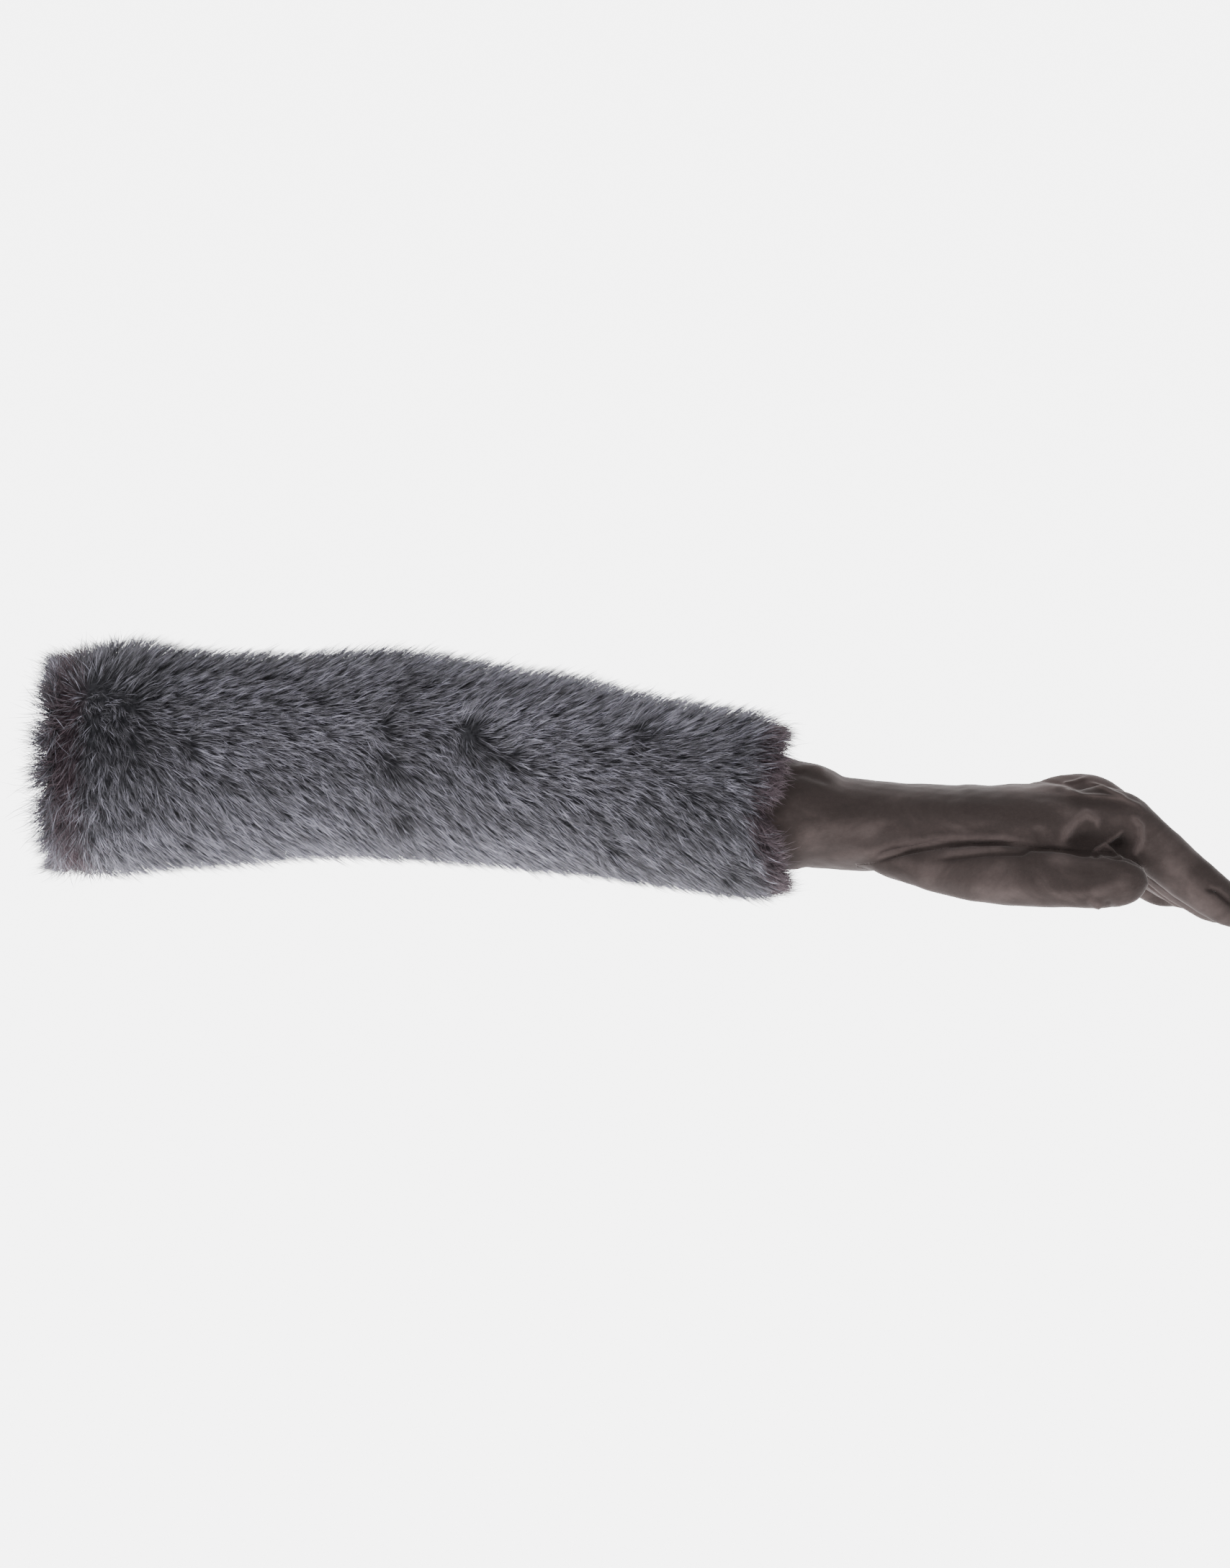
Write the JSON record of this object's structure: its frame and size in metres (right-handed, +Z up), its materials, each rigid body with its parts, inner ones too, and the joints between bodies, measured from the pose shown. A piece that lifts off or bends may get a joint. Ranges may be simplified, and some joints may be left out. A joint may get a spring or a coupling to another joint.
{
  "type": "fur-cuffed suede glove",
  "caption": "Long suede dress glove for the left hand, shaped as when it is worn, with a deep fur cuff from the wrist to above the elbow.",
  "frame": {"origin": "centre of the opening that the arm goes into, at the suede's edge", "axes": "+X along the glove towards the fingers, +Z up on the back of the hand's side, the thumb on the -Y side"},
  "size_m": [0.5776, 0.1114, 0.1357],
  "materials": {
    "suede": "napped suede, taupe",
    "fur": "long grey hair, dark underneath"
  },
  "bodies": {
    "root": {"suede_hand": "suede", "thumb": "suede", "fourchette_index_middle": "suede", "fourchette_middle_ring": "suede", "fourchette_ring_little": "suede", "fur_cuff": "fur"}
  },
  "joints": []
}
